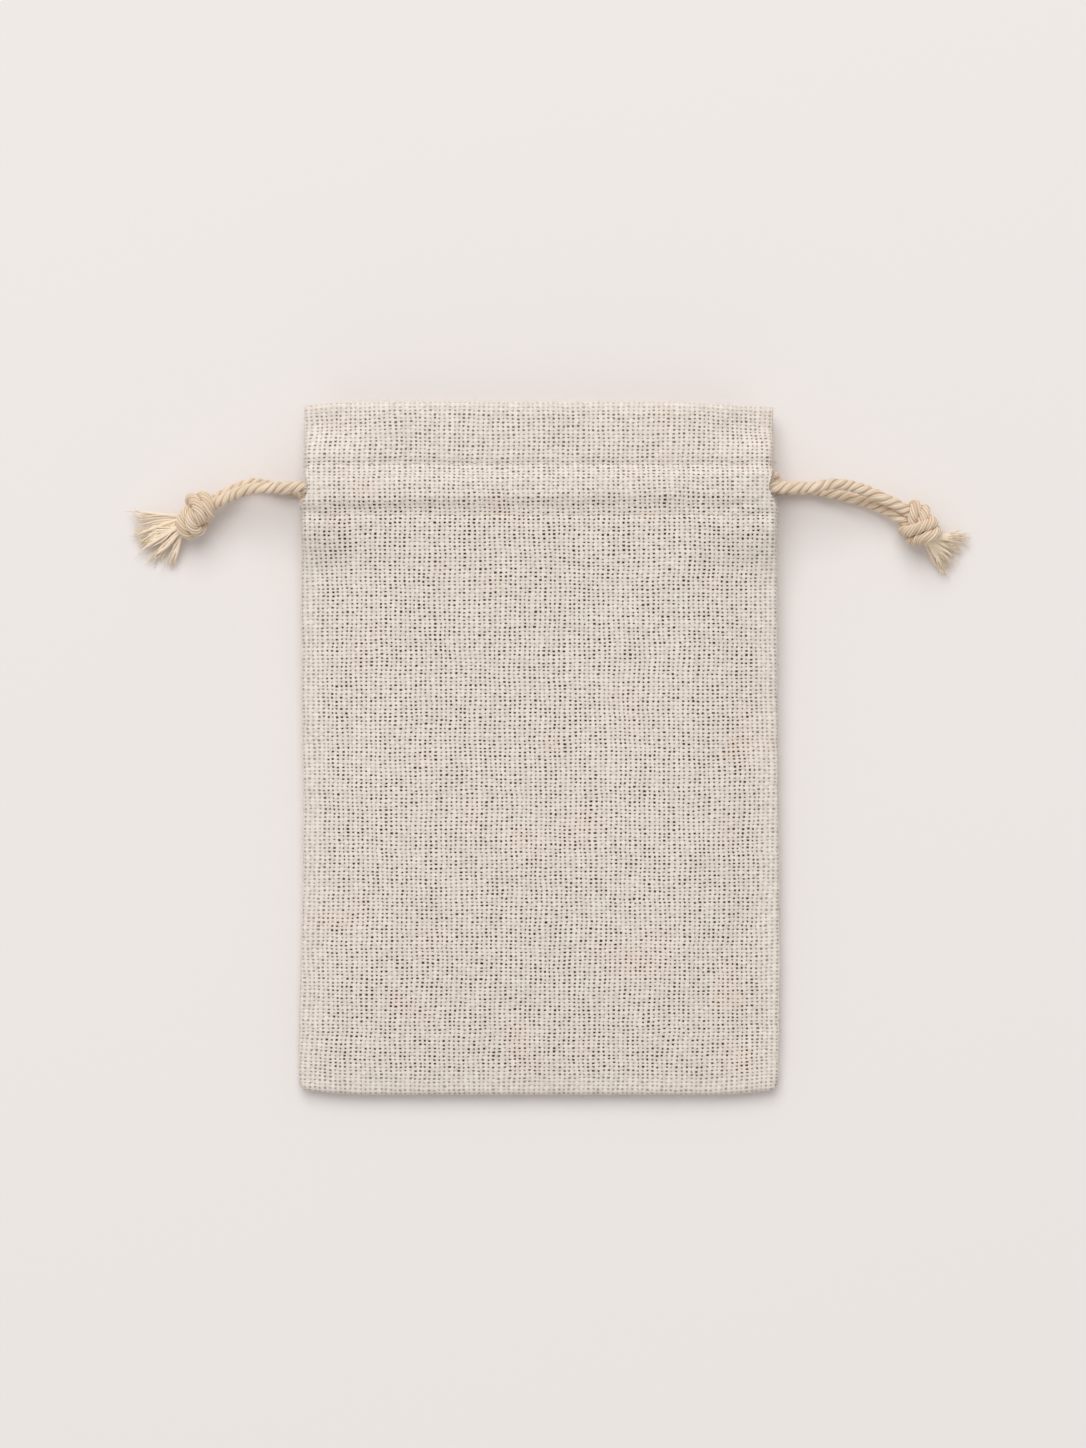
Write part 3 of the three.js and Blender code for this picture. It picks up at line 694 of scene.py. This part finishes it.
# Seam allowances, inside the pouch

EDGE_PLY, EDGE_APART = 0.42, 0.27      # an edge's thickness, and its middle from the seam line
SEAM_X = 49.5
SIDE_SEAM, HEADER_SEAM = (-66.9, 49.5), (60.7, 72.8)
FOOT_SEAM_X, FOOT_SEAM_Y = 45.5, -73


def add_allowance(name, node, start, end, inward):
    """Two turned-in edges lying together along a seam, their cut ends a little wavy."""
    start, end, inward = (np.array(v, float) for v in (start, end, inward))
    steps = max(8, int(np.linalg.norm(end - start) / 1.6))
    along = np.linspace(0, 1, steps)
    wide = np.linspace(0, SEAM_ALLOWANCE, 7)
    heap = Heap()
    for up in (1, -1):
        phase = chance.uniform(0, 6)
        rows = np.zeros((steps, len(wide), 3))
        for i, t in enumerate(along):
            at = lerp(start, end, t)
            run = t * np.linalg.norm(end - start)
            wave = 0.12 * np.sin(0.55 * run + phase) + 0.08 * np.sin(1.4 * run + 2 * phase)
            cut = 1 + 0.025 * np.sin(2.3 * run + phase)
            free = (wide / SEAM_ALLOWANCE) ** 2
            rows[i, :, :2] = at + np.outer(wide * cut, inward)
            rows[i, :, 2] = seam_z(at[1]) + up * (EDGE_APART + 0.05 * free) + wave * free
        if np.cross(inward, end - start) < 0:
            rows = rows[:, ::-1]
        marks, flat = flat_marks(rows, 1.0)
        heap.add(*sheet_solid(rows, EDGE_PLY), marks)
    strip = heap.finish(name, "cloth")
    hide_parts(node)
    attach(strip, "pouch")
    2 * flat[0]
    linen_pieces.append(strip)


for side, sign in (("left", -1), ("right", 1)):
    x = sign * SEAM_X
    for edges, seam, (foot, head) in (("seam", "side", SIDE_SEAM), ("header", "header", HEADER_SEAM)):
        add_allowance(f"{side}_{edges}_edges", f"{side}_{seam}_seam", (x, foot), (x, head), (-sign, 0))
foot_ends = [(-FOOT_SEAM_X, FOOT_SEAM_Y), (FOOT_SEAM_X, FOOT_SEAM_Y)]
add_allowance("bottom_seam_edges", "bottom_seam", *foot_ends, (0, 1))


# Stitches

STITCH, STITCH_GAP = 1.95, 0.55
THREAD = 0.36
STITCH_DIVES = ((0.55, 0.06), (0.85, 0.10))    # from this share of its half length, each end drops so far
STITCH_WANDER = 0.07
stitch_pieces = []


def stitch_shape():
    """One stitch of a lockstitch row: a slim grain of thread whose ends dive into the cloth."""
    bpy.ops.object.select_all(action="DESELECT")
    bpy.ops.mesh.primitive_uv_sphere_add(segments=8, ring_count=8, radius=1)
    bpy.ops.object.mode_set(mode="EDIT")
    bpy.ops.transform.rotate(value=math.pi / 2, orient_axis="Y", center_override=(0, 0, 0))
    half = (STITCH / 2 * MM, THREAD / 2 * MM, THREAD / 2 * MM)
    bpy.ops.transform.resize(value=half, center_override=(0, 0, 0))
    bpy.ops.object.mode_set(mode="OBJECT")
    shape = bpy.context.object
    for share, drop in STITCH_DIVES:
        for vertex in shape.data.vertices:
            vertex.select = abs(vertex.co.x) > share * STITCH / 2 * MM
        bpy.ops.object.mode_set(mode="EDIT")
        bpy.ops.transform.translate(value=(0, 0, -drop * MM))
        bpy.ops.object.mode_set(mode="OBJECT")
    shape.data.shade_smooth()
    return shape


def add_stitches(name, node, y, height, up):
    """A row of stitches on the outer ply and one on the hem inside."""
    shape = stitch_shape()
    copies = []
    pitch = STITCH + STITCH_GAP
    count = int(2 * (HALF_WIDTH - HEM_SETBACK - 0.5) / pitch)
    for k in range(count):
        for face, level in ((up, 0), (-up, hem_gap(y))):
            x = (k - (count - 1) / 2) * pitch + (pitch / 2 if level else 0)
            z = height(np.array([x]), y)[0] - up * level + face * (CLOTH / 2 + 0.03)
            copy = shape.copy()
            copy.data = shape.data.copy()
            bpy.context.scene.collection.objects.link(copy)
            place = Matrix.Translation((x * MM, (y + chance.normal(0, STITCH_WANDER)) * MM, z * MM))
            aslant = Matrix.Rotation(chance.normal(0, STITCH_WANDER), 4, "Z")
            turn = aslant @ Matrix.Rotation(0 if face > 0 else math.pi, 4, "X")
            copy.data.transform(place @ turn)
            copies.append(copy)
    bpy.data.objects.remove(shape)
    bpy.ops.object.select_all(action="DESELECT")
    for copy in copies:
        copy.select_set(True)
    bpy.context.view_layer.objects.active = copies[0]
    bpy.ops.object.join()
    row = copies[0]
    row.name = row.data.name = name
    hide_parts(node)
    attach(row, "pouch")
    stitch_pieces.append(row)


for side, height, up in (("front", front_height, 1), ("back", back_height, -1)):
    add_stitches(f"{side}_upper_stitches", f"{side}_upper_stitch", UPPER_STITCH, height, up)
    add_stitches(f"{side}_lower_stitches", f"{side}_lower_stitch", LOWER_STITCH, height, up)


# Finishes

class Value:
    """A socket in a finish, so that shader sums read as plain sums."""

    def __init__(self, finish, socket):
        self.finish, self.socket = finish, socket

    def __add__(self, other):
        return self.finish.maths("ADD", self, other)

    def __radd__(self, other):
        return self.finish.maths("ADD", other, self)

    def __sub__(self, other):
        return self.finish.maths("SUBTRACT", self, other)

    def __rsub__(self, other):
        return self.finish.maths("SUBTRACT", other, self)

    def __mul__(self, other):
        return self.finish.maths("MULTIPLY", self, other)

    def __truediv__(self, other):
        return self.finish.maths("DIVIDE", self, other)

    def __pow__(self, other):
        return self.finish.maths("POWER", self, other)


class Finish:
    """A material and its nodes."""

    def __init__(self, name):
        self.material = bpy.data.materials.new(name)
        self.material.use_nodes = True
        self.tree = self.material.node_tree
        self.shader = self.tree.nodes["Principled BSDF"]

    def node(self, kind, settings=(), inputs=(), output=0):
        made = self.tree.nodes.new(kind)
        for key, value in dict(settings).items():
            setattr(made, key, value)
        for key, value in dict(inputs).items():
            self.set(made.inputs[key], value)
        return Value(self, made.outputs[output])

    def set(self, socket, value):
        if isinstance(value, Value):
            self.tree.links.new(value.socket, socket)
        else:
            socket.default_value = value

    def maths(self, operation, a, b=0.0):
        return self.node("ShaderNodeMath", {"operation": operation}, {0: a, 1: b})

    def range(self, value, low, high, to_low=0.0, to_high=1.0):
        return self.node(
            "ShaderNodeMapRange", {"interpolation_type": "SMOOTHSTEP"},
            {"Value": value, "From Min": low, "From Max": high, "To Min": to_low, "To Max": to_high})

    def mix(self, share, a, b):
        inputs = {"Factor": share, "A": a, "B": b}
        return self.node("ShaderNodeMix", {"data_type": "RGBA"}, inputs, output=2)

    def noise(self, vector, scale, detail=2.0, roughness=0.5):
        return self.node("ShaderNodeTexNoise", {},
                         {"Vector": vector, "Scale": scale, "Detail": detail, "Roughness": roughness})

    def point(self, x, y, z=0.0):
        return self.node("ShaderNodeCombineXYZ", {}, {0: x, 1: y, 2: z})

    def random(self, x, y, seed):
        inputs = {"Vector": self.point(x, y, seed)}
        return self.node("ShaderNodeTexWhiteNoise", {"noise_dimensions": "3D"}, inputs)

    def attribute(self, name):
        return self.node("ShaderNodeAttribute", {"attribute_name": name}, output=1)

    def parts(self, vector):
        split = self.node("ShaderNodeSeparateXYZ", {}, {0: vector}).socket.node
        return [Value(self, out) for out in split.outputs]

    def bump(self, height, distance, strength):
        self.set(self.shader.inputs["Normal"], self.node(
            "ShaderNodeBump", {}, {"Height": height, "Distance": distance, "Strength": strength}))

    def give(self, **sockets):
        for key, value in sockets.items():
            self.set(self.shader.inputs[key.replace("_", " ")], value)


def srgb(r, g, b):
    def line(v):
        v /= 255
        return v / 12.92 if v <= 0.04045 else ((v + 0.055) / 1.055) ** 2.4
    return (line(r), line(g), line(b), 1.0)


WARP, WEFT = 1.06, 0.83         # from thread to thread, in millimetres


def linen():
    """An open plain weave of uneven threads, warps over and under wefts, with a hole at each corner."""
    f = Finish("linen_weave")
    s, t, backed = f.parts(f.attribute("cloth"))

    # Threads wander, and each hole sits a little off its corner
    sway = f.noise(f.point(s, t), 0.05)
    u = s / WARP + (f.noise(f.point(s * 0.35, t * 0.09, 3.0), 1.0, 2.0) - 0.5) * 0.75 + (sway - 0.5) * 1.6
    v = t / WEFT + (f.noise(f.point(s * 0.09, t * 0.4, 9.0), 1.0, 2.0) - 0.5) * 0.6 + (sway - 0.5) * 1.2
    i, j = f.maths("FLOOR", u), f.maths("FLOOR", v)
    gap_u, gap_v = f.maths("ROUND", u), f.maths("ROUND", v)
    du = f.maths("ABSOLUTE", u - gap_u + (f.random(gap_u, gap_v, 12.0) - 0.5) * 0.1)
    dv = f.maths("ABSOLUTE", v - gap_v + (f.random(gap_u, gap_v, 13.0) - 0.5) * 0.18)

    # Holes are wide where the threads beside them are thin, and the painted shade in them is deeper there
    thin_u = f.noise(f.point(gap_u * 7.3, t * 0.2, 11.0), 1.0)
    thin_v = f.noise(f.point(s * 0.2, gap_v * 5.1, 17.0), 1.0)
    half_u = f.maths("MAXIMUM", 0.185 + f.random(gap_u, 0.0, 1.0) * 0.02 + (thin_u - 0.5) * 0.1, 0.03)
    half_v = f.maths("MAXIMUM", 0.176 + f.random(0.0, gap_v, 2.0) * 0.03 + (thin_v - 0.5) * 0.16, 0.03)
    own = f.random(gap_u, gap_v, 3.0)
    size = 0.86 + own ** 3.0 * 0.38
    warp = f.range(du / (half_u * size), 0.8, 1.25)
    weft = f.range(dv / (half_v * size), 0.8, 1.25)
    shade_depth = f.range(own * 0.8 + thin_u * 0.4 + thin_v * 0.6, 0.4, 1.1, 0.45, 1.0)
    # How much painted shade each hole shows: darker with its depth, weaker where cloth lies behind it
    hole_shade_share = (1.0 - warp) * (1.0 - weft) * shade_depth * (1.0 - backed * 0.5)

    # Threads rise and dip over each other
    rise_u = f.maths("SINE", (v + i) * math.pi) * 0.3
    rise_v = f.maths("SINE", (u + j) * math.pi) * -0.3
    high_u = (0.7 + rise_u - (1.0 - du * 2.0) ** 2.0 * 0.35) * warp
    high_v = (0.7 + rise_v - (1.0 - dv * 2.0) ** 2.0 * 0.35) * weft
    on_top = f.range(high_u - high_v, -0.1, 0.1)
    height = f.maths("MAXIMUM", high_u, high_v)

    # Fibres, slubs and neps, a tone to each thread, and painted shade: the threads lighter where they rise,
    # darker where they dip
    fibre_u = f.noise(f.point(s * 7.0, t * 1.6, 0.0), 1.0, 3.0, 0.6)
    fibre_v = f.noise(f.point(s * 1.6, t * 7.0, 4.0), 1.0, 3.0, 0.6)
    fibre = on_top * fibre_u + (1.0 - on_top) * fibre_v
    slub = f.range(f.noise(f.point(s * 0.2, t * 1.2, 21.0), 1.0), 0.58, 0.74)
    slub = slub + f.range(f.noise(f.point(s * 1.0, t * 0.2, 25.0), 1.0), 0.58, 0.74)
    nep = f.range(f.noise(f.point(s, t, 31.0), 0.9), 0.68, 0.76)
    # The height term paints shade: raised thread crowns lighter, the dips between threads darker
    tone_and_shade = 0.5 + (fibre - 0.5) * 1.0 + (height - 0.75) * 0.3 + slub * 0.1 + nep * 0.3
    tone_and_shade = tone_and_shade + (f.random(i, 0.0, 5.0) - 0.5) * 0.06 + (f.random(0.0, j, 6.0) - 0.5) * 0.06
    tone_and_shade = tone_and_shade + (f.random(i, j, 7.0) - 0.5) * 0.22
    thread = f.mix(f.range(tone_and_shade, 0.0, 1.0), srgb(211, 198, 187), srgb(249, 240, 230))
    warm = f.range(f.noise(f.point(s, t, 40.0), 0.085, 3.0), 0.54, 0.74)
    thread = f.mix(warm * 0.35, thread, srgb(240, 216, 198))
    # Painted shade: a dark brown for the shadowed inside of the pouch seen through the holes
    hole_shade = f.mix(f.random(gap_u, gap_v, 8.0), srgb(44, 22, 6), srgb(84, 54, 30))

    f.give(Base_Color=f.mix(hole_shade_share, thread, hole_shade), Roughness=0.95, Specular_IOR_Level=0.15,
           Sheen_Weight=0.12, Sheen_Roughness=0.6)
    f.bump(height * 0.8 + fibre * 0.25 + slub * 0.1, 0.24 * MM, 0.6)
    return f.material


def cotton(name, dull, bright):
    """Soft twisted cotton: fine yarn lines along each ply, and painted shade in the grooves."""
    f = Finish(name)
    along, around, groove = f.parts(f.attribute("lay"))
    yarns = f.noise(f.point(around * 26.0 + along * 0.5, along * 0.4, 0.0), 1.0, 3.0, 0.6)
    fine = f.noise(f.point(around * 90.0, along * 1.2, 5.0), 1.0, 2.0, 0.6)
    patch = f.noise(f.point(around * 3.0, along * 0.16, 7.0), 1.0)
    # Painted shade: the grooves between plies and yarns are darker in tone and take a brown mixed in
    tone_and_shade = yarns * 0.9 + fine * 0.35 + (patch - 0.5) * 0.5 - groove * 0.15
    thread = f.mix(f.range(tone_and_shade, 0.2, 0.95), dull, bright)
    colour = f.mix(f.range(groove, 0.35, 1.0) * 0.6, thread, srgb(178, 146, 113))
    f.give(Base_Color=colour, Roughness=0.9, Specular_IOR_Level=0.2, Sheen_Weight=0.2, Sheen_Roughness=0.5)
    f.bump(yarns * 0.8 + fine * 0.35, 0.2 * MM, 0.6)
    return f.material


def sewing_thread():
    """Beige thread with its twist showing as slanted lines."""
    f = Finish("thread_twist")
    place = f.node("ShaderNodeTexCoord", output=3)
    x, y, z = f.parts(place)
    twist = f.maths("SINE", (x + y * 1.6 + z * 1.6) * (2 * math.pi / (0.42 * MM)))
    fuzz = f.noise(place, 2600.0, 2.0)
    colour = f.mix(f.range(twist * 0.25 + fuzz, 0.2, 0.9), srgb(178, 153, 124), srgb(222, 203, 178))
    f.give(Base_Color=colour, Roughness=0.85, Specular_IOR_Level=0.2)
    f.bump(twist * 0.5 + fuzz * 0.4, 0.06 * MM, 0.5)
    return f.material


for pieces, material, slot in (
    (linen_pieces, linen(), "linen_cloth"),
    (cotton_pieces, cotton("cotton_ply", srgb(216, 190, 161), srgb(250, 232, 209)), "cotton_cord"),
    # Painted light: the frayed yarns take a brighter copy of the cord's colours, making up for the shade
    # among the yarns and standing in for light through the loose fibres
    (frayed_pieces, cotton("cotton_fray_painted_light", srgb(255, 229, 200), srgb(255, 241, 218)), "cotton_cord"),
    (stitch_pieces, sewing_thread(), "sewing_thread"),
):
    for piece in pieces:
        piece.data.materials.clear()
        piece.data.materials.append(material)


# Table and light

TABLE_SIZE = 12
WINDOW_PLACE, WINDOW_SIZE, WINDOW_POWER = (-0.5, 2.05, 3.05), 3.2, 86
ROOM_LIGHT = 0.53


def add_table():
    bpy.ops.object.select_all(action="DESELECT")
    bpy.ops.mesh.primitive_plane_add(size=TABLE_SIZE, location=(0, 0, 0))
    table = bpy.context.object
    table.name = "table"
    f = Finish("table_paint")
    f.give(Base_Color=srgb(240, 234, 231), Roughness=0.9, Specular_IOR_Level=0.1)
    table.data.materials.append(f.material)


def add_window(place, size, power):
    data = bpy.data.lights.new("window", "AREA")
    data.shape, data.size, data.energy = "DISK", size, power
    window = bpy.data.objects.new("window", data)
    bpy.context.scene.collection.objects.link(window)
    x, y, z = place
    window.location = place
    window.rotation_euler = (math.atan2(math.hypot(x, y), z), 0, math.atan2(y, x) + math.pi / 2)


add_table()
add_window(WINDOW_PLACE, WINDOW_SIZE, WINDOW_POWER)
room = bpy.data.worlds.new("room")
bpy.context.scene.world = room
room.use_nodes = True
light = room.node_tree.nodes["Background"].inputs
light["Color"].default_value = (1.0, 1.0, 1.0, 1.0)
light["Strength"].default_value = ROOM_LIGHT
bpy.context.scene.view_settings.view_transform = "Standard"
